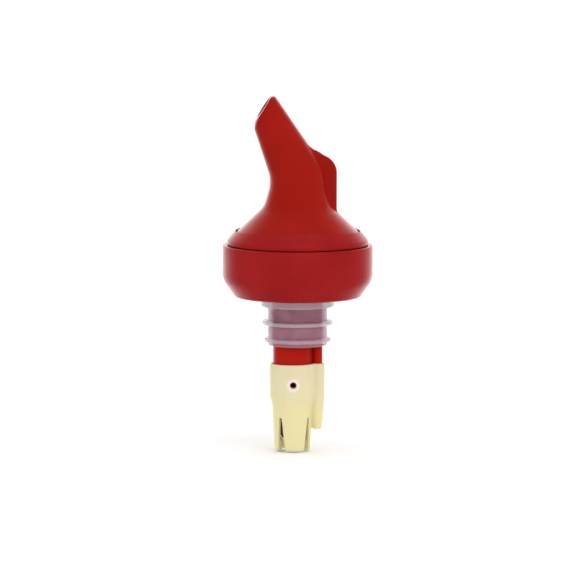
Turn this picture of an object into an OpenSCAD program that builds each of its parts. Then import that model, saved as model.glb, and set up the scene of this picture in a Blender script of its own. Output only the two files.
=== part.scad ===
// Measured free-pour spout for a liquor bottle, with a wide collar.
// Frame: the origin is on the cork's axis, at the underside of the cork's flange,
// which rests on the bottle's lip. +Z points up out of the bottle, the spout leans
// towards -X, the breather runs along +X and the timing hole faces -Y. Millimetres.

/* [Spout] */
// Lean of the spout from the vertical, towards -X (degrees)
spout_lean = 26.4; // [18:0.2:34]
// Height of the bend between the neck and the spout
elbow_z = 38.6; // [36:0.2:44]
// Outer radius at the bend
elbow_r = 8.05; // [7.6:0.05:9]
// Length from the bend to the middle of the mouth
spout_len = 22.9; // [18:0.1:28]
// Outer radius of the spout at the mouth
spout_tip_r = 4.78; // [4.2:0.02:5.6]
// Radius of the mouth's bore
mouth_r = 2.65; // [2:0.05:3]
// Angle of the mouth's face from square to the spout (degrees)
mouth_bevel = 31.4; // [0:0.2:35]
// Rounding of the mouth's two corners, seen from the side
mouth_round = 1.35; // [0.6:0.05:1.8]
// Length of the straight bore at the mouth
mouth_bore_h = 6; // [4:0.5:9]

/* [Neck and vent fin] */
// Half angle of the neck's taper (degrees)
neck_taper = 15.6; // [12:0.2:18]
// Radius of the neck at the height of the bend
neck_top_r = 7.5; // [7:0.05:7.8]
// Radius of the fillet between the neck and the flare
neck_fillet = 6; // [3:0.1:7]
// Slope of the flare (degrees)
flare_slope = 43.3; // [38:0.1:46]
// Half width of the flare's rim from side to side
rim_r = 18.15; // [17.6:0.05:18.4]
// Half breadth of the flare's rim from front to back
rim_y = 17.3; // [16.8:0.05:18]
// Height at which the flare's slope meets its rim
rim_z = 22.04; // [21.8:0.02:22.6]
// Wall of the flare over the hollow collar
flare_wall = 2; // [1.6:0.1:2.6]
// Reach of the vent fin from the axis
fin_reach = 11.55; // [10:0.05:13]
// Height of the fin's top where it leaves the spout
fin_top_z = 47.4; // [45:0.1:49]
// Slope of the fin's top (degrees)
fin_slope = 29; // [20:1:40]
// Rounding of the fin's upper corner
fin_corner = 4.7; // [2:0.1:5.5]
// Thickness of the fin
fin_t = 3.4; // [3:0.1:5]

/* [Collar] */
// Outer radius of the collar base
collar_r = 22.2; // [21.6:0.05:25]
// Height of the collar base's top lip
collar_top_z = 18.2; // [15:0.1:22]
// Inset of the flat underside's edge from the collar's outer radius
foot_inset = 3.7; // [2.7:0.1:6.2]
// Angle of the sloped lower wall from the vertical (degrees)
collar_chamfer = 35.4; // [25:0.2:45]
// Rounding between the sloped and the upright wall
collar_bend_round = 6; // [2:0.2:7]
// Rounding of the underside's edge
collar_foot_round = 1.2; // [0.6:0.1:1.8]
// Wall of the collar base
collar_wall = 2; // [1.5:0.1:2.5]
// Rounding of the collar base's top edge
lip_round = 0.35; // [0.2:0.05:0.6]
// Inset of the collar cap's rim from the collar's outer radius
cap_inset = 1.3; // [1:0.05:1.8]
// Gap between the cap's rim and the collar's lip
rim_gap = 0.3; // [0.2:0.05:0.5]
// Height of the rim above its lower edge, where the shoulder's slope would meet it
rim_h = 1.1; // [0.8:0.05:1.6]
// Rounding between the rim and the shoulder
shoulder_round = 2; // [1:0.1:2.5]
// Slope of the cap's shoulder (degrees)
cap_slope = 50; // [46:0.5:54]
// Gap around the flare's rim in the cap
parting_gap = 0.25; // [0.1:0.05:0.4]
// Height of the ledge in the cap, on which the flare's rim stands
ledge_z = 20.6; // [20.2:0.1:21]
// Thickness of the cap
cap_t = 1.8; // [1.4:0.1:2]
// Depth of the cap's spigot in the collar base
spigot_h = 2; // [1:0.1:3]
// Radius of the opening in the cap
cap_bore_r = 15.2; // [14.5:0.1:15.6]

/* [Cork] */
// Radius of the cork's flange
cork_flange_r = 10.92; // [10:0.02:13]
// Thickness of the cork's flange
cork_flange_t = 2.83; // [2:0.01:3.5]
// Radius of the cork's body
cork_r = 8.85; // [8.5:0.05:9.3]
// Length of the cork below its flange
cork_len = 11.6; // [10:0.1:14]
// Radius of the upper sealing rib
rib_upper_r = 10.52; // [10:0.02:11.2]
// Radius of the lower sealing rib
rib_lower_r = 9.95; // [9.5:0.02:10.6]
// Depth of the upper rib's middle below the flange
rib_upper_z = 4.77; // [3.5:0.01:5.5]
// Depth of the lower rib's middle below the flange
rib_lower_z = 9.83; // [8.6:0.01:10.3]
// Thickness of a rib at its root
rib_t = 1.9; // [1.4:0.1:2.2]
// Width of a rib's crest
rib_crest = 0.8; // [0.5:0.1:1.2]

/* [Tubes] */
// Offset of the metering tube's axis from the cork's axis, towards -X
tube_offset = 1.45; // [1.2:0.05:1.6]
// Outer radius of the metering tube
tube_r = 5.82; // [5.7:0.02:6]
// Diameter of the metering ball
metering_ball_d = 9.525; // [9:0.025:9.6]
// Running clearance around each ball, on the radius
ball_clearance = 0.11; // [0.05:0.01:0.16]
// Depth of the metering tube's end
tube_end_z = 27.1; // [24:0.1:30]
// Height of the throat seat that stops the metering ball
throat_z = 21.2; // [18:0.1:24]
// Radius of the throat above the seat
throat_r = 3.9; // [3.4:0.05:4.2]
// Radius of the hub inside the cork
hub_r = 7.5; // [7.3:0.05:7.7]
// Radius of the barb that keeps the cork on the hub
barb_r = 7.85; // [7.7:0.05:8.1]
// Offset of the breather's axis from the cork's axis, towards +X
breather_offset = 5.85; // [5.8:0.05:6]
// Outer radius of the breather tube
breather_r = 1.55; // [1.4:0.05:1.65]
// Radius of the breather's bore
breather_bore_r = 0.85; // [0.6:0.05:0.95]
// Depth of the breather tube's end
breather_end_z = 22.6; // [20:0.1:24]
// Width of the liquor inlet
inlet_w = 7.9; // [6:0.1:8.5]
// Height of the liquor inlet
inlet_h = 4.8; // [3.5:0.1:5]

/* [Timing cup] */
// Outer radius of the cup's barrel
cup_r = 6.8; // [6.6:0.05:7.2]
// Depth of the cup's upper rim
cup_top_z = 17; // [16:0.1:18]
// Depth of the barrel's end, where the cup narrows
barrel_end_z = 27.1; // [25:0.1:28.5]
// Radius of the cup below its shoulder
cup_waist_r = 5.95; // [5.6:0.05:6.1]
// Depth of the floor's top, on which the metering ball rests
floor_z = 30; // [29:0.1:32]
// Thickness of the floor
floor_t = 2.2; // [2.1:0.1:3]
// Radius of the floor's hole at its top
floor_hole_r = 2.6; // [2.2:0.05:2.7]
// Radius of the floor's hole at its underside, the check ball's seat
check_seat_r = 2.8; // [2.4:0.05:3]
// Diameter of the check ball
check_ball_d = 7.94; // [7.5:0.02:8]
// Travel of the check ball
check_travel = 1.65; // [1:0.05:2.5]
// Inner radius of the cage
cage_r = 4.25; // [4.2:0.05:4.5]
// Depth of the fingers' tips
finger_end_z = 42.9; // [41.5:0.1:46]
// Outer radius at the fingers' tips
finger_tip_r = 5.35; // [4.8:0.05:5.4]
// Inner radius of the fingers' lips
lip_r = 3.2; // [2.8:0.05:3.5]
// Width of a finger slot at its top
slot_top_w = 0.9; // [0.6:0.1:1.4]
// Width of a finger slot at its foot
slot_foot_w = 1.9; // [1:0.1:2.6]
// Depth of the finger slots' tops
slot_z = 32.9; // [32.6:0.1:35]
// Angle of the finger slots from the front
slot_angle = 48.5; // [40:0.5:50]
// Turn of the finger slots about the cup's axis
slot_turn = 7; // [-10:0.5:10]
// Radius of the breather's lobe
lobe_r = 2.25; // [2.15:0.05:2.5]
// Depth of the lobe's rounded end
lobe_end_z = 37; // [34:0.1:39]
// Diameter of the vent ball
vent_ball_d = 2.381; // [2.1:0.001:2.4]
// Depth of the vent ball's seat
vent_seat_z = 26.6; // [25.6:0.1:28]
// Radius of the air hole below the vent ball
air_hole_r = 0.75; // [0.5:0.05:1]
// Radius of the timing hole
timing_hole_r = 0.9; // [0.5:0.05:1.2]
// Depth of the timing hole
timing_hole_z = 23; // [21:0.1:25]

/* [Fits] */
// Clearance between pieces that are pushed together, on the radius
seat_clearance = 0.04; // [0.02:0.01:0.08]
// Clearance between a resting ball and its seat
rest_clearance = 0.03; // [0.02:0.01:0.05]

/* [Hidden] */
$fn = 96;
eps = 0.02;
main_red = [0.62, 0.08, 0.07];
collar_red = [0.61, 0.09, 0.10];
frosted = [0.80, 0.72, 0.76];
cream = [0.92, 0.87, 0.71];
steel = [0.75, 0.76, 0.78];

metering_r = metering_ball_d / 2;
check_r = check_ball_d / 2;
vent_r = vent_ball_d / 2;
bore_r = metering_r + ball_clearance;
vent_bore_r = vent_r + 0.8 * ball_clearance;

collar_foot_r = collar_r - foot_inset;
cap_r = collar_r - cap_inset;
// The cap's shoulder is a cone; its height at any radius
rim_low_z = collar_top_z + rim_gap;
shoulder_z = rim_low_z + rim_h;
function shoulder_height(r) = shoulder_z + (cap_r - r) * tan(cap_slope);

// The neck's cone and the flare's cone meet at the neck's foot
neck_foot_r = (neck_top_r + (elbow_z - rim_z - rim_r * tan(flare_slope)) * tan(neck_taper))
    / (1 - tan(flare_slope) * tan(neck_taper));
neck_foot_z = rim_z + (rim_r - neck_foot_r) * tan(flare_slope);

// Where the spout's axis crosses the metering tube's axis
channel_bend_z = elbow_z + tube_offset / tan(spout_lean);

// Places of the balls at rest
metering_rest_z = -floor_z + sqrt(pow(metering_r, 2) - pow(floor_hole_r, 2)) + rest_clearance;
throat_rise = bore_r - throat_r;
check_seated_z = -floor_z - floor_t - sqrt(pow(check_r, 2) - pow(check_seat_r, 2)) - rest_clearance;
check_rest_z = check_seated_z - check_travel;
vent_rest_z = -vent_seat_z + sqrt(pow(vent_r, 2) - pow(air_hole_r, 2)) + rest_clearance;
lip_z = check_rest_z - sqrt(pow(check_r, 2) - pow(lip_r, 2)) - rest_clearance;

// The vent fin's outline
fin_foot_z = 26;
fin_start_x = 3.3;
fin_sharp_z = fin_top_z - (fin_reach - fin_start_x) * tan(fin_slope);
fin_corner_z = fin_sharp_z - fin_corner / tan((90 + fin_slope) / 2);

// Smaller details
skirt_h = 1;
web_t = 1.2;
hub_end_z = cork_len - 1.1;
cork_foot_round = 0.7;
ledge_w = 1.2;
lobe_tip_r = lobe_r - 0.9;
pip_r = 0.55;
pip_pitch = 2.7;
pip_offset = 0.35;
pip_z = cork_flange_t + 0.75;
pip_reach = collar_foot_r + 0.3;

module at_tube() translate([-tube_offset, 0, 0]) children();
module at_breather() translate([breather_offset, 0, 0]) children();
module along_spout() translate([0, 0, elbow_z]) rotate([0, -spout_lean, 0]) children();
// A straight round bar between two heights
module bar(r, z0, z1) translate([0, 0, z0]) cylinder(r = r, h = z1 - z0);
// A cone between two heights
module taper(r0, z0, r1, z1) translate([0, 0, z0]) cylinder(r1 = r0, r2 = r1, h = z1 - z0);

// ---------------------------------------------------------------- spout body
// Points of a concave fillet of radius r in the corner b between a and c
function unit(v) = v / norm(v);
function corner_angle(a, b, c) = acos(unit(a - b) * unit(c - b));
function fillet_centre(a, b, c, r) =
    b + unit(unit(a - b) + unit(c - b)) * r / sin(corner_angle(a, b, c) / 2);
function foot_on(p, q, x) = p + unit(q - p) * ((x - p) * unit(q - p));
function fillet(a, b, c, r, steps = 6) =
    let (o = fillet_centre(a, b, c, r), p = foot_on(b, a, o), q = foot_on(b, c, o))
    [for (i = [0:steps]) o + unit((p - o) * (1 - i / steps) + (q - o) * i / steps) * r];

module neck_profile() {
    top = [neck_top_r, elbow_z];
    foot = [neck_foot_r, neck_foot_z];
    rim = [rim_r, rim_z];
    polygon(concat(
        [[0, elbow_z], top],
        fillet(top, foot, rim, neck_fillet),
        [rim, [rim_r, ledge_z], [0, ledge_z]]
    ));
}

// The flare, trimmed from front to back by its oval rim
module flare() intersection() {
    rotate_extrude() neck_profile();
    scale([1, rim_y / rim_r, 1]) bar(rim_r, ledge_z, elbow_z + 1);
}

// The side view of the spout: its face at the mouth is straight between two rounded corners
function mouth_corner(side) =
    let (
        half_angle = atan((elbow_r - spout_tip_r) / spout_len),
        a1 = -sin(mouth_bevel), b1 = cos(mouth_bevel), c1 = spout_len * cos(mouth_bevel) - mouth_round,
        a2 = side * cos(half_angle), b2 = sin(half_angle), c2 = elbow_r * cos(half_angle) - mouth_round,
        det = a1 * b2 - a2 * b1
    ) [(c1 * b2 - c2 * b1) / det, (a1 * c2 - a2 * c1) / det];

module spout_outline() hull() {
    for (side = [-1, 1]) translate(mouth_corner(side)) circle(r = mouth_round, $fn = 32);
    translate([-elbow_r * 1.6, -elbow_r * 1.6]) square([elbow_r * 3.2, 1]);
}

module spout_shell() along_spout() intersection() {
    over = spout_len + 6;
    cylinder(r1 = elbow_r - 0.05, r2 = elbow_r - 0.05 - (elbow_r - spout_tip_r) / spout_len * over, h = over);
    rotate([90, 0, 0]) translate([0, 0, -15]) linear_extrude(30) spout_outline();
}

module vent_fin() {
    far = [fin_reach - fin_corner, fin_corner_z];
    translate([0, fin_t / 2, 0]) rotate([90, 0, 0]) linear_extrude(fin_t) {
        hull() {
            translate(far) circle(r = fin_corner, $fn = 64);
            translate([1, fin_foot_z]) square([fin_reach - 1, 1]);
            translate([1, fin_top_z - 3]) square([2.3, 1]);
            translate([3.3 - eps, fin_top_z - eps]) square(eps);
        }
    }
}

// The hollow between the hub and the flare, open towards the collar
module flare_hollow() {
    edge_r = cap_bore_r - seat_clearance - flare_wall;
    lift = flare_wall / cos(flare_slope);
    function inner_z(r) = rim_z + (rim_r - r) * tan(flare_slope) - lift;
    rotate_extrude() polygon([
        [0, ledge_z - skirt_h - 1], [edge_r, ledge_z - skirt_h - 1],
        [edge_r, inner_z(edge_r)], [neck_foot_r, inner_z(neck_foot_r)], [0, inner_z(neck_foot_r)]
    ]);
}

module channels() {
    at_tube() bar(bore_r, -tube_end_z - 1, throat_z);
    at_tube() taper(bore_r, throat_z - eps, throat_r, throat_z + throat_rise);
    at_tube() bar(throat_r, throat_z + throat_rise - eps, channel_bend_z);
    at_tube() translate([0, 0, channel_bend_z]) sphere(r = throat_r + 0.04);
    along_spout() taper(throat_r, tube_offset / sin(spout_lean), mouth_r, spout_len - mouth_bore_h);
    along_spout() bar(mouth_r, spout_len - mouth_bore_h - eps, spout_len + 8);
    at_breather() bar(breather_bore_r, -breather_end_z - 1, fin_top_z + 2);
}

module liquor_inlet() {
    middle = -(cork_len + cup_top_z) / 2;
    flat = inlet_w - inlet_h;
    at_tube() translate([0, 0, middle]) rotate([-90, 0, 0]) {
        for (s = [-1, 1]) translate([s * flat / 2, 0, 0]) cylinder(d = inlet_h, h = 10);
        translate([-flat / 2, -inlet_h / 2, 0]) cube([flat, inlet_h, 10]);
    }
}

// The rib that joins the two tubes; grown by a clearance it is the slot for it in the cup
module web(grow, z0, z1) {
    inner_x = tube_r - tube_offset - 0.6;
    translate([inner_x, -web_t / 2 - grow, z0]) cube([breather_offset - inner_x, web_t + 2 * grow, z1 - z0]);
}

module spout_body() color(main_red) difference() {
    union() {
        difference() {
            union() {
                flare();
                translate([0, 0, elbow_z]) sphere(r = elbow_r);
                spout_shell();
                vent_fin();
                bar(cap_bore_r - seat_clearance, ledge_z - skirt_h, ledge_z + eps);
            }
            flare_hollow();
        }
        bar(hub_r, -hub_end_z, neck_foot_z);
        taper(hub_r - 0.2, -hub_end_z, barb_r, -hub_end_z + 0.8);
        at_tube() bar(tube_r, -tube_end_z, -hub_end_z + 1);
        at_breather() bar(breather_r, -breather_end_z, -hub_end_z + 1);
        web(0, -breather_end_z, -hub_end_z + 1);
    }
    channels();
    liquor_inlet();
    at_tube() translate([0, 0, -timing_hole_z]) rotate([90, 0, 0]) cylinder(r = timing_hole_r - 0.1, h = 10);
}

// ---------------------------------------------------------------- collar
module collar_cap() color(collar_red) difference() {
    in_r = collar_r - collar_wall - seat_clearance;
    rotate_extrude() polygon(concat(
        [[cap_bore_r, shoulder_height(cap_bore_r)]],
        fillet([cap_bore_r, shoulder_height(cap_bore_r)], [cap_r, shoulder_z], [cap_r, rim_low_z - 1],
            shoulder_round, 5),
        [
            [cap_r, rim_low_z + 0.25], [cap_r - 0.25, rim_low_z], [in_r, rim_low_z],
            [in_r, collar_top_z - spigot_h], [in_r - cap_t, collar_top_z - spigot_h],
            [in_r - cap_t, ledge_z - cap_t], [cap_bore_r, ledge_z - cap_t]
        ]
    ));
    scale([1, (rim_y + parting_gap) / (rim_r + parting_gap), 1]) bar(rim_r + parting_gap, ledge_z, elbow_z);
}

module collar_profile() {
    foot_z = cork_flange_t;
    corner_z = foot_z + (collar_r - collar_foot_r) / tan(collar_chamfer);
    in_r = collar_r - collar_wall;
    inner_foot_r = collar_foot_r - collar_wall / 2;
    seat_z = collar_top_z - spigot_h;
    polygon(concat(
        [[hub_r + seat_clearance, foot_z]],
        fillet([0, foot_z], [collar_foot_r, foot_z], [collar_r, corner_z], collar_foot_round, 3),
        fillet([collar_foot_r, foot_z], [collar_r, corner_z], [collar_r, collar_top_z], collar_bend_round, 6),
        fillet([collar_r, corner_z], [collar_r, collar_top_z], [in_r, collar_top_z], lip_round, 3),
        [
            [in_r, collar_top_z], [in_r, seat_z], [in_r - ledge_w, seat_z],
            [in_r - ledge_w, corner_z + 0.5], [inner_foot_r, foot_z + collar_wall],
            [hub_r + seat_clearance, foot_z + collar_wall]
        ]
    ));
}

// Two small moulded pips low on the front of the collar
module pips() {
    for (side = [-1, 1])
        translate([side * pip_pitch / 2 + pip_offset, -pip_reach, pip_z]) sphere(r = pip_r, $fn = 32);
}

module collar_base() color(collar_red) {
    rotate_extrude() collar_profile();
    pips();
}

// ---------------------------------------------------------------- cork
module rib(r, z) {
    polygon([
        [cork_r - 0.3, -z - rib_t / 2], [cork_r, -z - rib_t / 2], [r, -z - rib_crest / 2],
        [r, -z + rib_crest / 2], [cork_r, -z + rib_t / 2], [cork_r - 0.3, -z + rib_t / 2]
    ]);
}

module cork() color(frosted) rotate_extrude() difference() {
    bore = hub_r + seat_clearance;
    union() {
        polygon(concat(
            [[bore, 0.5], [bore, -cork_len]],
            fillet([0, -cork_len], [cork_r, -cork_len], [cork_r, 0], cork_foot_round, 4),
            [[cork_r, 0.5]]
        ));
        translate([bore, 0]) square([cork_flange_r - bore, cork_flange_t]);
        rib(rib_upper_r, rib_upper_z);
        rib(rib_lower_r, rib_lower_z);
    }
    // The groove that holds the hub's barb
    translate([0, -hub_end_z - seat_clearance]) square([barb_r + seat_clearance, 0.9 + 2 * seat_clearance]);
}

// ---------------------------------------------------------------- timing cup
module cup_outside() {
    at_tube() {
        bar(cup_r, -barrel_end_z, -cup_top_z);
        taper(cup_waist_r, -barrel_end_z - 2.4, cup_r, -barrel_end_z + eps);
        taper(finger_tip_r, -finger_end_z, cup_waist_r, -barrel_end_z - 2.4 + eps);
    }
    at_breather() {
        bar(lobe_r, -barrel_end_z, -cup_top_z);
        translate([0, 0, -lobe_end_z + lobe_tip_r])
            sphere(r = lobe_tip_r);
        taper(lobe_tip_r, -lobe_end_z + lobe_tip_r, lobe_r, -barrel_end_z + eps);
    }
}

module cup_inside() {
    at_tube() {
        bar(tube_r + seat_clearance, -tube_end_z - seat_clearance, 0);
        bar(bore_r, -floor_z, 0);
        taper(check_seat_r, -floor_z - floor_t, floor_hole_r, -floor_z);
        bar(cage_r, lip_z, -floor_z - floor_t);
        bar(lip_r, -finger_end_z - 1, lip_z + eps);
    }
    web(seat_clearance, -breather_end_z - seat_clearance, 0);
    at_breather() {
        bar(breather_r + seat_clearance, -breather_end_z - seat_clearance, 0);
        bar(vent_bore_r, -vent_seat_z, 0);
        bar(air_hole_r, -lobe_end_z - 1, -vent_seat_z + eps);
    }
}

module finger_slots() {
    length = finger_end_z - slot_z;
    at_tube() for (a = [-slot_angle, slot_angle])
        rotate(a + slot_turn) translate([0, cup_r, -slot_z]) rotate([90, 0, 0])
            linear_extrude(2 * cup_r) polygon([
                [-slot_top_w / 2, 0], [slot_top_w / 2, 0],
                [slot_foot_w / 2, -length - 1], [-slot_foot_w / 2, -length - 1]
            ]);
}

module timing_cup() color(cream) difference() {
    cup_outside();
    cup_inside();
    finger_slots();
    at_tube() translate([0, 0, -timing_hole_z]) rotate([90, 0, 0]) {
        cylinder(r = timing_hole_r, h = 10);
        translate([0, 0, cup_r - 0.35]) cylinder(r1 = timing_hole_r, r2 = timing_hole_r + 1.2, h = 0.5);
    }
}

// ---------------------------------------------------------------- balls
module metering_ball() color(steel) at_tube() translate([0, 0, metering_rest_z]) sphere(r = metering_r);
module check_ball() color(steel) at_tube() translate([0, 0, check_rest_z]) sphere(r = check_r);
module vent_ball() color(steel) at_breather() translate([0, 0, vent_rest_z]) sphere(r = vent_r);

spout_body();
collar_cap();
collar_base();
cork();
timing_cup();
metering_ball();
check_ball();
vent_ball();
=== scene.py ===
"""Looks of the measured pour spout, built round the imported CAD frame."""

import math

import bmesh
import bpy
import numpy as np
from mathutils import Matrix, Quaternion, Vector


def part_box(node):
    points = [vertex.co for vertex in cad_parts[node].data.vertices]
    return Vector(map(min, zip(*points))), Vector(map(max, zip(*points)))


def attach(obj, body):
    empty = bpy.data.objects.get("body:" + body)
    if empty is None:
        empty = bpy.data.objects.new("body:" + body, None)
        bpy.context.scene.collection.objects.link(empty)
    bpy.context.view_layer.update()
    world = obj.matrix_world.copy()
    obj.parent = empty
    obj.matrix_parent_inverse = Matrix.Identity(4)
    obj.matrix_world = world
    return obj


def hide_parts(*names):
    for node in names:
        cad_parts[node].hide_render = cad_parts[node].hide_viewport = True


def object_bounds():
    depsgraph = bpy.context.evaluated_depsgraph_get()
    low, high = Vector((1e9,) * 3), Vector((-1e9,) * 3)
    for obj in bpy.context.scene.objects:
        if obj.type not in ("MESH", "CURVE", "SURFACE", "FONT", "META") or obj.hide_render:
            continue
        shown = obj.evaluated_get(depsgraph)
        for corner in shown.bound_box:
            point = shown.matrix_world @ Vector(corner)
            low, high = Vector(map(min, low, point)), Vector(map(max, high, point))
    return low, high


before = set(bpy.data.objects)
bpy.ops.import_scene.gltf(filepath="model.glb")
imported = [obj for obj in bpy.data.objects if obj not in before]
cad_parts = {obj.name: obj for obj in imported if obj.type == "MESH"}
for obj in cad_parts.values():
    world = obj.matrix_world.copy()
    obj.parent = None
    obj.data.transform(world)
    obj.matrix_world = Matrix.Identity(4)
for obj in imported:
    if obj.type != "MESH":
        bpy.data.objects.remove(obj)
cad_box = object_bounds()
MM = 0.001

# Sizes in millimetres, in the CAD's frame. Angles are in degrees.
# The slots' foot is wider and the gap under the cap's rim lower than in the CAD.
LEAN, ELBOW_Z, ELBOW_R, SPOUT_LEN, TIP_R = 26.4, 38.6, 8.0, 22.9, 4.72
MOUTH_R, MOUTH_BEVEL, MOUTH_BORE_LEN, CHANNEL_START = 2.65, 31.4, 6, 3
NECK_TAPER, NECK_TOP_R, FLARE_SLOPE = 15.6, 7.5, 43.3
RIM_R, RIM_Y, RIM_Z, RIM_LOW_Z = 18.12, 17.27, 22.0, 20.6
NECK_FILLET, ELBOW_FILLET, FIN_FILLET = 1.0, 1.8, 0.7
FIN_REACH, FIN_START_X, FIN_TOP_Z, FIN_SLOPE, FIN_HALF_T = 11.5, 3.3, 47.4, 29, 1.7
FIN_CORNER, FIN_EDGE = 2.6, 0.55
TUBE_X, TUBE_R, TUBE_END_Z, BORE_R, BORE_TOP_Z = -1.45, 5.82, -27.1, 4.8725, 21.2
HUB_R, HUB_END_Z, SKIRT_R, THROAT_R = 7.5, -10.5, 15.1, 3.9
BREATHER_X, BREATHER_R, BREATHER_BORE_R, BREATHER_END_Z = 5.85, 1.55, 0.85, -22.6
WEB_HALF_T, WEB_START_X, INLET_Z, INLET_W, INLET_H = 0.6, 3.8, -14.3, 7.9, 4.8
HOLE_Z, HOLE_R, PUSH_FIT = -23.0, 0.8, 0.04
CUP_R, CUP_TOP_Z, WAIST_R, TIP_END_R, FLOOR_Z = 6.8, -17.0, 5.95, 5.35, -30.0
CAGE_R, CAGE_TOP_Z, CAGE_LOW_Z, LIP_R, FINGER_END_Z = 4.25, -32.2, -39.2, 3.2, -42.88
SLOT_ANGLES, SLOT_TOP_Z, SLOT_TOP_W, SLOT_FOOT_W = (-41.5, 55.5), -32.9, 0.9, 2.6
LOBE_R, LOBE_END_Z, FLOOR_HOLE_R = 2.25, -36.98, 2.75
VENT_SEAT_Z, VENT_BORE_R, AIR_HOLE_R = -26.6, 1.28, 0.75
COLLAR_R, COLLAR_TOP_Z, COLLAR_FOOT_R, COLLAR_CHAMFER = 22.19, 18.2, 18.5, 35.4
COLLAR_WALL, SPIGOT_Z, COLLAR_FLOOR_Z = 2, 16.2, 4.83
PIP_XS, PIP_Y, PIP_R = (-1.0, 1.7), -18.72, 0.55
CAP_R, CAP_LOW_Z, CAP_SHOULDER_Z, CAP_SLOPE = 20.9, 18.38, 19.6, 50
CAP_BORE_R, CAP_LEDGE_Z, CAP_GAP, CAP_T = 15.2, 20.6, 0.28, 1.8
CORK_R, CORK_FLANGE_R, FLANGE_T, CORK_LEN = 8.85, 10.91, 2.83, 11.6
RIBS = ((10.5, -4.77), (9.93, -9.83))


def tan(degrees):
    return math.tan(math.radians(degrees))


def sin(degrees):
    return math.sin(math.radians(degrees))


def cos(degrees):
    return math.cos(math.radians(degrees))


# ---------------------------------------------------------------- solids as distances
# Every function below gives the signed distance from points to a surface, less than 0 inside.
def join(a, b, blend):
    """The union of two solids with a fillet between them."""
    h = np.clip(0.5 + 0.5 * (b - a) / blend, 0, 1)
    return b + (a - b) * h - blend * h * (1 - h)


def meet(a, b, rounding):
    """The intersection of two solids with a rounded edge."""
    return np.minimum(np.maximum(a, b), -rounding) + np.hypot(
        np.maximum(a + rounding, 0), np.maximum(b + rounding, 0)
    )


def cut(a, b, rounding):
    return meet(a, -b, rounding)


def sloped(r, z, foot, top):
    """The side of a cone through two (radius, height) points."""
    dr, dz = top[0] - foot[0], top[1] - foot[1]
    return ((r - foot[0]) * dz - (z - foot[1]) * dr) / math.hypot(dr, dz)


def between(z, low, high):
    return np.maximum(low - z, z - high)


def bar(x, y, z, radius, low, high, rounding=0.3):
    return meet(np.hypot(x, y) - radius, between(z, low, high), rounding)


def turned(r, z, heights, radii):
    """A turned side whose radius changes with height; heights rise."""
    slopes = np.gradient(np.array(radii, float), np.array(heights, float))
    return (r - np.interp(z, heights, radii)) / math.hypot(1, np.abs(slopes).min())


def along_spout(x, z):
    """Places across and along the spout's axis, seen from the side."""
    up = z - ELBOW_Z
    return x * cos(LEAN) + up * sin(LEAN), up * cos(LEAN) - x * sin(LEAN)


def spout_cone(x, y, z):
    across, along = along_spout(x, z)
    side = sloped(np.hypot(across, y), along, (ELBOW_R, 0), (TIP_R, SPOUT_LEN))
    face = (along - SPOUT_LEN) * cos(MOUTH_BEVEL) - across * sin(MOUTH_BEVEL)
    ends = across**2 / (across**2 + y**2 + 1)
    cone = meet(np.maximum(side, -along), face, 0.4 + 1.2 * ends)
    return np.minimum(cone, np.sqrt(x**2 + y**2 + (z - ELBOW_Z) ** 2) - ELBOW_R)


def neck_foot():
    """Radius and height at which the neck meets the flare."""
    rise, spread = tan(FLARE_SLOPE), tan(NECK_TAPER)
    r = (NECK_TOP_R + (ELBOW_Z - RIM_Z - RIM_R * rise) * spread) / (1 - rise * spread)
    return r, RIM_Z + (RIM_R - r) * rise


def neck_and_flare(x, y, z):
    r, foot = np.hypot(x, y), neck_foot()
    neck = np.maximum(sloped(r, z, foot, (NECK_TOP_R, ELBOW_Z)), z - ELBOW_Z)
    flare = sloped(r, z, (RIM_R, RIM_Z), foot)
    oval = np.hypot(x, y * RIM_R / RIM_Y) - RIM_R
    flare = meet(meet(flare, oval, 0.35), RIM_LOW_Z - z, 0.1)
    return join(np.maximum(neck, RIM_LOW_Z - z), flare, NECK_FILLET)


def fin(x, y, z):
    top = (z - FIN_TOP_Z + (x - FIN_START_X) * tan(FIN_SLOPE)) * cos(FIN_SLOPE)
    outline = meet(x - FIN_REACH, top, FIN_CORNER)
    outline = np.maximum(outline, np.maximum(1 - x, 26 - z))
    return meet(outline, np.abs(y) - FIN_HALF_T, FIN_EDGE)


def inlet(x, y, z):
    """The window in the back of the metering tube."""
    side = np.maximum(np.abs(x - TUBE_X) - (INLET_W - INLET_H) / 2, 0)
    return np.maximum(np.hypot(side, z - INLET_Z) - INLET_H / 2, -y)


def channels(x, y, z):
    """Every way through the red moulding: tube, throat, spout, vent, timing hole and inlet."""
    across, along = along_spout(x, z)
    spout_r = np.hypot(across, y)
    bore_start = SPOUT_LEN - MOUTH_BORE_LEN
    upper = sloped(spout_r, along, (THROAT_R, CHANNEL_START), (MOUTH_R, bore_start))
    upper = np.maximum(np.minimum(upper, spout_r - MOUTH_R), CHANNEL_START - along)
    tube_r = np.hypot(x - TUBE_X, y)
    seat_z = BORE_TOP_Z + BORE_R - THROAT_R
    seat = sloped(tube_r, z, (BORE_R, BORE_TOP_Z), (THROAT_R, seat_z))
    lower = np.maximum(tube_r - BORE_R, np.maximum(seat, between(z, -40, seat_z)))
    middle = np.maximum(tube_r - THROAT_R, between(z, 20, ELBOW_Z + 3))
    vent = np.hypot(x - BREATHER_X, y) - BREATHER_BORE_R
    hole = np.maximum(np.hypot(x - TUBE_X, z - HOLE_Z) - HOLE_R, y)
    openings = np.minimum.reduce([lower, middle, upper, hole, inlet(x, y, z)])
    return np.minimum(openings, vent)


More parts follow.
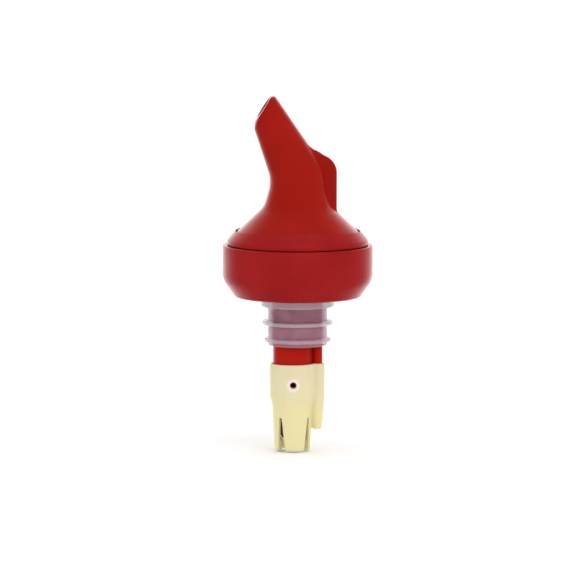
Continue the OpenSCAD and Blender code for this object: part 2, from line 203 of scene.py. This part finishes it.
def spout_solid(x, y, z):
    body = join(spout_cone(x, y, z), neck_and_flare(x, y, z), ELBOW_FILLET)
    body = join(body, fin(x, y, z), FIN_FILLET)
    body = np.minimum(body, bar(x, y, z, SKIRT_R, 19.6, 22, 0.2))
    body = np.minimum(body, bar(x, y, z, HUB_R, HUB_END_Z, 25))
    tube = bar(x - TUBE_X, y, z, TUBE_R, TUBE_END_Z, -9)
    breather = bar(x - BREATHER_X, y, z, BREATHER_R, BREATHER_END_Z, -9)
    web = np.maximum(np.abs(y) - WEB_HALF_T, between(x, WEB_START_X, BREATHER_X))
    web = np.maximum(web, between(z, BREATHER_END_Z, -9))
    tubes = np.minimum.reduce([tube, breather, web])
    _, along = along_spout(x, z)
    edge = np.where(along > SPOUT_LEN - 5, 0.35, 0.15)
    return cut(np.minimum(body, tubes), channels(x, y, z), edge)


def cup_outside(x, y, z):
    r = np.hypot(x - TUBE_X, y)
    heights = (FINGER_END_Z, -30.2, -29.3, -27.6, -26.7, CUP_TOP_Z)
    radii = (TIP_END_R, WAIST_R, WAIST_R + 0.15, 6.6, CUP_R, CUP_R)
    barrel = turned(r, z, heights, radii)
    barrel = meet(barrel, z - CUP_TOP_Z, 0.25)
    barrel = meet(barrel, FINGER_END_Z - z, 0.8)
    lobe_r = np.hypot(x - BREATHER_X, y)
    lobe_heights = (LOBE_END_Z, -27.5, -26.5, CUP_TOP_Z)
    lobe = turned(lobe_r, z, lobe_heights, (1.4, 2.2, LOBE_R, LOBE_R))
    lobe = meet(meet(lobe, LOBE_END_Z - z, 1.3), z - CUP_TOP_Z, 0.25)
    return join(barrel, lobe, 0.5)


def cup_inside(x, y, z):
    """The hollows of the cup: the sockets, the ball cage, the floor's hole and the vent's seat."""
    tube_x, breather_x = x - TUBE_X, x - BREATHER_X
    r, breather_r = np.hypot(tube_x, y), np.hypot(breather_x, y)
    web = np.maximum(np.abs(y) - WEB_HALF_T - PUSH_FIT, between(x, WEB_START_X, BREATHER_X))
    return np.minimum.reduce([
        bar(tube_x, y, z, TUBE_R + PUSH_FIT, TUBE_END_Z - PUSH_FIT, 0, 0.1),
        bar(tube_x, y, z, BORE_R, FLOOR_Z, 0, 0.1),
        bar(tube_x, y, z, CAGE_R, CAGE_LOW_Z, CAGE_TOP_Z, 0.1),
        np.maximum(r - LIP_R, z - CAGE_LOW_Z - 0.5),
        np.maximum(r - FLOOR_HOLE_R, between(z, CAGE_TOP_Z - 1, FLOOR_Z + 1)),
        bar(breather_x, y, z, BREATHER_R + PUSH_FIT, BREATHER_END_Z - PUSH_FIT, 0, 0.1),
        bar(breather_x, y, z, VENT_BORE_R, VENT_SEAT_Z, 0, 0.1),
        np.maximum(breather_r - AIR_HOLE_R, z - VENT_SEAT_Z - 0.5),
        np.maximum(web, BREATHER_END_Z - PUSH_FIT - z),
    ])


def slot(x, y, z, angle):
    """One slot across the cage, between two opposite pairs of fingers."""
    across = (x - TUBE_X) * cos(angle) + y * sin(angle)
    share = np.clip((SLOT_TOP_Z - z) / (SLOT_TOP_Z - FINGER_END_Z), 0, 1)
    half = (SLOT_TOP_W + (SLOT_FOOT_W - SLOT_TOP_W) * share) / 2
    above = z - (SLOT_TOP_Z - SLOT_TOP_W / 2)
    return np.hypot(across, np.maximum(above, 0)) - half


def cup_solid(x, y, z):
    """The cup with its slots, and a shallow dish round the timing hole."""
    cup = cut(cup_outside(x, y, z), cup_inside(x, y, z), 0.15)
    for angle in SLOT_ANGLES:
        cup = cut(cup, slot(x, y, z, angle), 0.45)
    r = np.hypot(x - TUBE_X, z - HOLE_Z)
    dish = r - HOLE_R - 0.1 - np.maximum(-y - (CUP_R - 0.45), 0) * 2.2
    return cut(cup, np.maximum(dish, y), 0.1)


# ---------------------------------------------------------------- meshes from distances
def grid_cells(values):
    """The cells that the surface passes through, and the mean place of its crossings there."""
    inside = values < 0
    n = np.array(values.shape) - 1
    total, count = np.zeros((*n, 3)), np.zeros(n)
    for axis in range(3):
        for side in range(4):
            start = [side & 1, side >> 1]
            start.insert(axis, 0)
            low = tuple(slice(s, s + m) for s, m in zip(start, n))
            start[axis] = 1
            high = tuple(slice(s, s + m) for s, m in zip(start, n))
            a, b = values[low], values[high]
            crossed = inside[low] != inside[high]
            share = np.where(crossed, a / np.where(crossed, a - b, 1), 0)
            place = np.zeros((*n, 3))
            place[..., axis] = share
            for other, s in zip([k for k in range(3) if k != axis], (side & 1, side >> 1)):
                place[..., other] = s
            total += place * crossed[..., None]
            count += crossed
    cells = np.argwhere(count > 0)
    mean = total[count > 0] / count[count > 0][:, None]
    return cells, cells + mean, inside


def net_faces(cells, inside):
    """Four-sided faces across every grid edge that the surface crosses."""
    index = -np.ones(inside.shape, int)
    index[tuple(cells.T)] = np.arange(len(cells))
    faces = []
    for axis in range(3):
        u, v = [k for k in range(3) if k != axis]
        low = [slice(1, -1)] * 3
        high = list(low)
        low[axis], high[axis] = slice(0, -1), slice(1, None)
        a, b = inside[tuple(low)], inside[tuple(high)]
        for leaving in (True, False):
            at = np.argwhere((a & ~b) if leaving else (~a & b))
            at += np.array([0 if k == axis else 1 for k in range(3)])
            corners = []
            for du, dv in ((1, 1), (0, 1), (0, 0), (1, 0)):
                cell = at.copy()
                cell[:, u] -= du
                cell[:, v] -= dv
                corners.append(index[tuple(cell.T)])
            quad = np.stack(corners, 1)
            faces.append(quad if leaving == (axis != 1) else quad[:, ::-1])
    return np.concatenate(faces)


def settle(solid, points, step):
    """Moves points onto the surface, less than a cell each time."""
    small = step * 0.05
    for _ in range(3):
        value = solid(*points.T)
        slope = np.stack(
            [(solid(*(points + move).T) - value) / small for move in np.eye(3) * small], 1
        )
        size = np.maximum((slope**2).sum(1), 0.2)
        points = points - np.clip(value / size, -step / 2, step / 2)[:, None] * slope
    return points


def relaxed(points, faces):
    """Moves each point part of the way to the middle of its neighbours."""
    total, count = np.zeros_like(points), np.zeros(len(points))
    for k in range(4):
        here, after = faces[:, k], faces[:, (k + 1) % 4]
        for a, b in ((here, after), (after, here)):
            np.add.at(total, a, points[b])
            np.add.at(count, a, 1)
    return points + 0.6 * (total / count[:, None] - points)


def moulded(name, solid, node, step):
    """A smooth mesh of a distance function inside a CAD node's box."""
    low, high = (np.array(corner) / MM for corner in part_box(node))
    axes = [np.arange(a - 1.6 * step, b + 2.2 * step, step) for a, b in zip(low, high)]
    values = solid(*np.meshgrid(*axes, indexing="ij"))
    cells, places, inside = grid_cells(values)
    start = np.array([axis[0] for axis in axes])
    points, faces = settle(solid, start + places * step, step), net_faces(cells, inside)
    for _ in range(2):
        points = settle(solid, relaxed(points, faces), step)
    return add_mesh(name, np.clip(points, low, high), faces)


def add_mesh(name, points, faces):
    mesh = bpy.data.meshes.new(name)
    mesh.from_pydata((np.array(points) * MM).tolist(), [], np.array(faces).tolist())
    mesh.validate()
    mesh.shade_smooth()
    made = bpy.data.objects.new(name, mesh)
    bpy.context.scene.collection.objects.link(made)
    return made


# ---------------------------------------------------------------- turned pieces
def rounded(corners, steps=6):
    """The outline through (radius, height, rounding) corners, as points."""
    outline = []
    for i, (r, z, rounding) in enumerate(corners):
        here = Vector((r, z))
        if rounding == 0:
            outline.append(here)
            continue
        before = (Vector(corners[i - 1][:2]) - here).normalized()
        after = (Vector(corners[(i + 1) % len(corners)][:2]) - here).normalized()
        half = before.angle(after) / 2
        centre = here + (before + after).normalized() * rounding / math.sin(half)
        first = here + before * rounding / math.tan(half) - centre
        last = here + after * rounding / math.tan(half) - centre
        for k in range(steps + 1):
            arm = first.lerp(last, k / steps).normalized() * rounding
            outline.append(centre + arm)
    return outline


def turned_piece(name, corners_at, around=192):
    """A mesh turned about the vertical axis; corners_at gives the closed outline at an angle."""
    points, faces = [], []
    for i in range(around):
        angle = 2 * math.pi * i / around
        outline = rounded(corners_at(angle))
        n = len(outline)
        points += [(p.x * math.cos(angle), p.x * math.sin(angle), p.y) for p in outline]
        here, after = i * n, (i + 1) % around * n
        faces += [
            (here + k, after + k, after + (k + 1) % n, here + (k + 1) % n) for k in range(n)
        ]
    made = add_mesh(name, points, faces)
    made.data.set_sharp_from_angle(angle=math.radians(38))
    return made


def collar_base():
    """The drum below the shoulder, hollow, with a step inside for the cap's spigot."""
    corner_z = FLANGE_T + (COLLAR_R - COLLAR_FOOT_R) / tan(COLLAR_CHAMFER)
    bore, inner = HUB_R + PUSH_FIT, COLLAR_R - COLLAR_WALL
    corners = [
        (bore, FLANGE_T, 0), (COLLAR_FOOT_R, FLANGE_T, 1.3), (COLLAR_R, corner_z, 6),
        (COLLAR_R, COLLAR_TOP_Z, 0.35), (inner, COLLAR_TOP_Z, 0.2), (inner, SPIGOT_Z, 0),
        (inner - 1.2, SPIGOT_Z, 0), (inner - 1.2, corner_z, 0),
        (COLLAR_FOOT_R - 1, COLLAR_FLOOR_Z, 0), (bore, COLLAR_FLOOR_Z, 0),
    ]
    return add_pips(turned_piece("collar_drum", lambda angle: corners))


def add_pips(drum):
    """The two small moulded pips low on the drum's front."""
    work = bmesh.new()
    work.from_mesh(drum.data)
    for x in PIP_XS:
        place = Matrix.Translation(Vector((x, PIP_Y, FLANGE_T + 0.75)) * MM)
        dome = bmesh.ops.create_icosphere(work, subdivisions=3, radius=PIP_R * MM, matrix=place)
        for face in {f for v in dome["verts"] for f in v.link_faces}:
            face.smooth = True
    work.to_mesh(drum.data)
    work.free()
    return drum


def shoulder_outline(angle):
    """The collar cap's outline, whose opening follows the flare's oval rim."""
    wide, deep = RIM_R + CAP_GAP, RIM_Y + CAP_GAP
    opening = wide * deep / math.hypot(deep * math.cos(angle), wide * math.sin(angle))
    top_z = CAP_SHOULDER_Z + (CAP_R - opening) * tan(CAP_SLOPE)
    spigot, under_z = COLLAR_R - COLLAR_WALL - PUSH_FIT, CAP_LEDGE_Z - CAP_T
    return [
        (CAP_BORE_R, under_z, 0), (CAP_BORE_R, CAP_LEDGE_Z, 0), (opening, CAP_LEDGE_Z, 0),
        (opening, top_z, 0.12), (CAP_R, CAP_SHOULDER_Z, 2.0), (CAP_R, CAP_LOW_Z, 0.25),
        (spigot, CAP_LOW_Z, 0), (spigot, SPIGOT_Z, 0), (spigot - CAP_T, SPIGOT_Z, 0),
        (spigot - CAP_T, under_z, 0),
    ]


# ---------------------------------------------------------------- materials
def node_material(name):
    made = bpy.data.materials.new(name)
    made.use_nodes = True
    nodes = made.node_tree.nodes
    return made, nodes, made.node_tree.links, nodes["Principled BSDF"]


def share_between(nodes, links, source, first, last):
    """Where a node's output lies between two values, from 0 to 1."""
    share = nodes.new("ShaderNodeMapRange")
    share.inputs["From Min"].default_value, share.inputs["From Max"].default_value = first, last
    links.new(source, share.inputs["Value"])
    return share.outputs["Result"]


def value_between(nodes, links, source, low, high, target, span=(0, 1)):
    """Maps a node's output from one span onto another and links it to a socket."""
    change = nodes.new("ShaderNodeMapRange")
    change.inputs["From Min"].default_value, change.inputs["From Max"].default_value = span
    change.inputs["To Min"].default_value, change.inputs["To Max"].default_value = low, high
    links.new(source, change.inputs["Value"])
    links.new(change.outputs["Result"], target)


def noise(nodes, links, per_metre, detail=3.0, stretch=(1, 1, 1)):
    place = nodes.new("ShaderNodeTexCoord")
    scale = nodes.new("ShaderNodeMapping")
    scale.inputs["Scale"].default_value = stretch
    made = nodes.new("ShaderNodeTexNoise")
    made.inputs["Scale"].default_value = per_metre
    made.inputs["Detail"].default_value = detail
    links.new(place.outputs["Object"], scale.inputs["Vector"])
    links.new(scale.outputs["Vector"], made.inputs["Vector"])
    return made


def colour_by(nodes, links, source, stops, target):
    ramp = nodes.new("ShaderNodeValToRGB")
    ramp.color_ramp.elements[0].position, ramp.color_ramp.elements[1].position = 0, 1
    for _ in stops[2:]:
        ramp.color_ramp.elements.new(0.5)
    for element, (position, colour) in zip(ramp.color_ramp.elements, stops):
        element.position, element.color = position, (*colour, 1)
    links.new(source, ramp.inputs["Fac"])
    links.new(ramp.outputs["Color"], target)


def object_place(nodes, links):
    """The place on the object, as one vector and as its separate parts."""
    place, parts = nodes.new("ShaderNodeTexCoord"), nodes.new("ShaderNodeSeparateXYZ")
    links.new(place.outputs["Object"], parts.inputs["Vector"])
    return place.outputs["Object"], parts.outputs


def colour_mix(nodes, links, shader):
    """A mix of two colours, A and B, for the shader's colour."""
    made = nodes.new("ShaderNodeMix")
    made.data_type = "RGBA"
    links.new(made.outputs["Result"], shader.inputs["Base Color"])
    return made


def bump(nodes, links, source, strength, depth_mm, shader):
    made = nodes.new("ShaderNodeBump")
    made.inputs["Strength"].default_value = strength
    made.inputs["Distance"].default_value = depth_mm * MM
    links.new(source, made.inputs["Height"])
    links.new(made.outputs["Normal"], shader.inputs["Normal"])


def gloss_red(name, low, high, rough):
    """Glossy moulded plastic: colour drift, fine orange peel, faint marks, and painted light that brightens
    the tube below the collar.
    """
    made, nodes, links, shader = node_material(name)
    drift = noise(nodes, links, 90, 4)
    _, place = object_place(nodes, links)
    mix = colour_mix(nodes, links, shader)
    # Painted light: the red grows 1.25 times brighter from -8 mm down to -14 mm and below, standing in for
    # light from the floor on the tube.
    value_between(nodes, links, place["Z"], 1, 0, mix.inputs["Factor"], (-14 * MM, -8 * MM))
    colour_by(nodes, links, drift.outputs["Fac"], ((0.3, low), (0.7, high)), mix.inputs["A"])
    mix.inputs["B"].default_value = (high[0] * 1.25, high[1], high[2], 1)
    marks = noise(nodes, links, 260, 3)
    value_between(nodes, links, marks.outputs["Fac"], rough - 0.03, rough + 0.03,
                  shader.inputs["Roughness"], (0.25, 0.75))
    peel = noise(nodes, links, 1500, 2)
    bump(nodes, links, peel.outputs["Fac"], 0.25, 0.012, shader)
    shader.inputs["IOR"].default_value = 1.46
    shader.inputs["Specular IOR Level"].default_value = 0.06
    shader.inputs["Subsurface Weight"].default_value = 0.05
    shader.inputs["Subsurface Radius"].default_value = (0.002, 0.0004, 0.0004)
    shader.inputs["Subsurface Scale"].default_value = 0.6
    return made


def distance_from_axis(nodes, links):
    """How far a place on the object is from the vertical axis."""
    place, _ = object_place(nodes, links)
    flat, length = nodes.new("ShaderNodeVectorMath"), nodes.new("ShaderNodeVectorMath")
    flat.operation, length.operation = "MULTIPLY", "LENGTH"
    flat.inputs[1].default_value = (1, 1, 0)
    links.new(place, flat.inputs[0])
    links.new(flat.outputs["Vector"], length.inputs[0])
    return length.outputs["Value"]


def frosted_cork():
    """Soft translucent plastic through which the red hub shows, paler at the ribs and flange."""
    made, nodes, links, shader = node_material("cork_frosted")
    haze = noise(nodes, links, 260, 5)
    mix = colour_mix(nodes, links, shader)
    radius = distance_from_axis(nodes, links)
    value_between(nodes, links, radius, 0, 1, mix.inputs["Factor"], (9 * MM, 10.2 * MM))
    colour_by(nodes, links, haze.outputs["Fac"],
              ((0.3, (0.36, 0.17, 0.22)), (0.7, (0.45, 0.22, 0.275))), mix.inputs["A"])
    mix.inputs["B"].default_value = (0.58, 0.46, 0.51, 1)
    value_between(nodes, links, haze.outputs["Fac"], 0.24, 0.36, shader.inputs["Roughness"], (0.3, 0.7))
    grain = noise(nodes, links, 2200, 3)
    bump(nodes, links, grain.outputs["Fac"], 0.25, 0.012, shader)
    shader.inputs["Alpha"].default_value = 0.62
    shader.inputs["IOR"].default_value = 1.42
    shader.inputs["Specular IOR Level"].default_value = 0.2
    return made


def halo_mix(nodes, links, place, shader):
    """Mixes in the paler ring round the timing hole, red at the hole's own edge."""
    away = nodes.new("ShaderNodeVectorMath")
    away.operation = "DISTANCE"
    away.inputs[1].default_value = Vector((TUBE_X, -CUP_R, HOLE_Z)) * MM
    links.new(place, away.inputs[0])
    mix = colour_mix(nodes, links, shader)
    distance = away.outputs["Value"]
    value_between(nodes, links, distance, 1, 0, mix.inputs["Factor"], (1.4 * MM, 2.2 * MM))
    ring = share_between(nodes, links, distance, 0.8 * MM, 1.8 * MM)
    colour_by(nodes, links, ring, ((0.0, (0.50, 0.10, 0.08)), (0.45, (0.84, 0.76, 0.70))), mix.inputs["B"])
    return mix


def cup_cream():
    """Cream plastic, paler at the barrel and more yellow towards the fingers."""
    made, nodes, links, shader = node_material("cup_cream")
    place, parts = object_place(nodes, links)
    drift = noise(nodes, links, 160, 4)
    shift = nodes.new("ShaderNodeMath")
    shift.operation = "MULTIPLY_ADD"
    shift.inputs[1].default_value = 4 * MM
    links.new(drift.outputs["Fac"], shift.inputs[0])
    links.new(parts["Z"], shift.inputs[2])
    height = share_between(nodes, links, shift.outputs["Value"], -40 * MM, -16 * MM)
    creams = ((0.0, (0.76, 0.69, 0.39)), (0.5, (0.75, 0.68, 0.38)), (0.68, (0.72, 0.65, 0.41)),
              (1.0, (0.70, 0.63, 0.41)))
    colour_by(nodes, links, height, creams, halo_mix(nodes, links, place, shader).inputs["A"])
    value_between(nodes, links, drift.outputs["Fac"], 0.38, 0.5, shader.inputs["Roughness"], (0.3, 0.7))
    grain = noise(nodes, links, 1300, 3, (1, 1, 0.3))
    bump(nodes, links, grain.outputs["Fac"], 0.25, 0.015, shader)
    shader.inputs["Specular IOR Level"].default_value = 0.08
    shader.inputs["Subsurface Weight"].default_value = 0.25
    shader.inputs["Subsurface Radius"].default_value = (0.002, 0.0014, 0.0007)
    shader.inputs["Subsurface Scale"].default_value = 0.6
    return made


def ball_steel():
    """Polished bearing steel with fine scratches."""
    made, nodes, links, shader = node_material("ball_steel")
    shader.inputs["Metallic"].default_value = 1
    scratches = noise(nodes, links, 900, 8, (1, 6, 0.3))
    colour_by(nodes, links, scratches.outputs["Fac"],
              ((0.3, (0.52, 0.53, 0.55)), (0.7, (0.66, 0.67, 0.69))), shader.inputs["Base Color"])
    value_between(nodes, links, scratches.outputs["Fac"], 0.1, 0.24, shader.inputs["Roughness"], (0.3, 0.7))
    bump(nodes, links, scratches.outputs["Fac"], 0.1, 0.004, shader)
    return made


# ---------------------------------------------------------------- the object
def paint_shade_in_channel(spout, material):
    """Gives the faces inside the mouth's channel, from just below the lip, their own near-black material:
    painted shade for the dark inside of the bore.
    """
    spout.data.materials.append(material)
    for face in spout.data.polygons:
        x, y, z = face.center / MM
        across, along = along_spout(x, z)
        face_depth = (SPOUT_LEN - along) * cos(MOUTH_BEVEL) + across * sin(MOUTH_BEVEL)
        inside = along > CHANNEL_START + 1 and math.hypot(across, y) < TIP_R - 0.9
        if inside and face_depth > 0.25:
            face.material_index = 1


def place_piece(made, node, material):
    made.data.materials.append(material)
    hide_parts(node)
    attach(made, "pourer")


def cork_outline(angle):
    """The cork's outline, the same all round: body, two ribs and the flange on the bottle's lip."""
    bore = HUB_R + PUSH_FIT
    upper, lower = RIBS
    outline = [(bore, FLANGE_T, 0), (bore, -CORK_LEN, 0), (CORK_R, -CORK_LEN, 0.7)]
    for r, z in (lower, upper):
        outline += [
            (CORK_R, z - 0.85, 0.15), (r, z - 0.5, 0.42), (r, z + 0.5, 0.42),
            (CORK_R, z + 0.85, 0.15),
        ]
    return outline + [(CORK_R, 0, 0.25), (CORK_FLANGE_R, 0, 0.5), (CORK_FLANGE_R, FLANGE_T, 0)]


def build_object():
    main_red = gloss_red("spout_red", (0.27, 0.006, 0.003), (0.32, 0.009, 0.004), 0.3)
    collar_red = gloss_red("collar_red", (0.26, 0.007, 0.008), (0.31, 0.010, 0.011), 0.34)
    # Near-black red for the inside of the mouth's channel: painted shade.
    channel_painted_shade = gloss_red("channel_painted_shade", (0.030, 0.002, 0.002), (0.045, 0.003, 0.003), 0.5)
    spout = moulded("spout", spout_solid, "spout_body", 0.4)
    place_piece(spout, "spout_body", main_red)
    paint_shade_in_channel(spout, channel_painted_shade)
    shoulder = turned_piece("collar_shoulder", shoulder_outline)
    place_piece(shoulder, "collar_cap", collar_red)
    place_piece(collar_base(), "collar_base", collar_red)
    cork = turned_piece("bottle_cork", cork_outline)
    place_piece(cork, "cork", frosted_cork())
    cup = moulded("cup", cup_solid, "timing_cup", 0.3)
    place_piece(cup, "timing_cup", cup_cream())
    steel = ball_steel()
    for ball in ("metering_ball", "check_ball", "vent_ball"):
        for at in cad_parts[ball].material_slots:
            at.material = steel


# ---------------------------------------------------------------- floor, lights and camera
def stage():
    low, _ = cad_box
    mesh = bpy.data.meshes.new("floor")
    side, z = 6.0, low.z - 0.0004
    mesh.from_pydata([(x * side, y * side, z) for x, y in ((-1, -1), (1, -1), (1, 1), (-1, 1))],
                     [], [(0, 1, 2, 3)])
    floor = bpy.data.objects.new("floor", mesh)
    bpy.context.scene.collection.objects.link(floor)
    made, nodes, links, shader = node_material("floor_white")
    speck = noise(nodes, links, 30, 3)
    colour_by(nodes, links, speck.outputs["Fac"],
              ((0.3, (0.96, 0.96, 0.96)), (0.7, (0.98, 0.98, 0.98))), shader.inputs["Base Color"])
    shader.inputs["Roughness"].default_value = 0.9
    shader.inputs["Specular IOR Level"].default_value = 0.1
    mesh.materials.append(made)
    floor.visible_glossy = False


def sky():
    """Even pale light all round. Reflections see it weaker in front, so the sides carry the sheen."""
    world = bpy.data.worlds.new("studio")
    bpy.context.scene.world = world
    world.use_nodes = True
    world.cycles.sampling_method = "NONE"
    nodes, links = world.node_tree.nodes, world.node_tree.links
    even, mirrored = nodes["Background"], nodes.new("ShaderNodeBackground")
    even.inputs["Color"].default_value = (1, 1, 1, 1)
    even.inputs["Strength"].default_value = 1.04
    mirrored.inputs["Color"].default_value = (1, 1, 1, 1)
    place, parts = nodes.new("ShaderNodeTexCoord"), nodes.new("ShaderNodeSeparateXYZ")
    links.new(place.outputs["Generated"], parts.inputs["Vector"])
    value_between(nodes, links, parts.outputs["Y"], 0.5, 3.7, mirrored.inputs["Strength"], (0.4, 0.95))
    choice, path = nodes.new("ShaderNodeMixShader"), nodes.new("ShaderNodeLightPath")
    links.new(path.outputs["Is Glossy Ray"], choice.inputs["Fac"])
    links.new(even.outputs["Background"], choice.inputs[1])
    links.new(mirrored.outputs["Background"], choice.inputs[2])
    links.new(choice.outputs["Shader"], nodes["World Output"].inputs["Surface"])


def soft_light(name, place, target, width, height, power):
    lamp = bpy.data.lights.new(name, "AREA")
    lamp.shape, lamp.size, lamp.size_y, lamp.energy = "RECTANGLE", width, height, power
    made = bpy.data.objects.new(name, lamp)
    made.location = place
    made.rotation_euler = (Vector(target) - Vector(place)).to_track_quat("-Z", "Y").to_euler()
    made.visible_camera = False
    bpy.context.scene.collection.objects.link(made)
    return made


def lights():
    middle = (0, 0, 0.01)
    soft_light("key", (0.3, -0.7, 0.55), middle, 0.8, 0.6, 1.6).visible_glossy = False
    soft_light("top", (0.0, -0.25, 0.95), middle, 0.9, 0.5, 0.5)


def camera():
    """A long lens at the photograph's viewing angle: slightly above, square to the side."""
    lens = bpy.data.cameras.new("camera")
    lens.lens, lens.sensor_width = 600, 36
    lens.clip_start, lens.clip_end = 0.1, 30
    made = bpy.data.objects.new("camera", lens)
    azimuth, elevation, distance = -2.0, 6.5, 2.866
    level = cos(elevation)
    back = Vector((sin(azimuth) * level, -cos(azimuth) * level, sin(elevation)))
    made.location = Vector((-0.0021, 0, 0.0046)) + back * distance
    turn = (-back).to_track_quat("-Z", "Y") @ Quaternion((0, 0, 1), math.radians(0.15))
    made.rotation_euler = turn.to_euler()
    bpy.context.scene.collection.objects.link(made)
    bpy.context.scene.camera = made


build_object()
stage()
sky()
lights()
camera()
bpy.context.scene.view_settings.view_transform = "Standard"
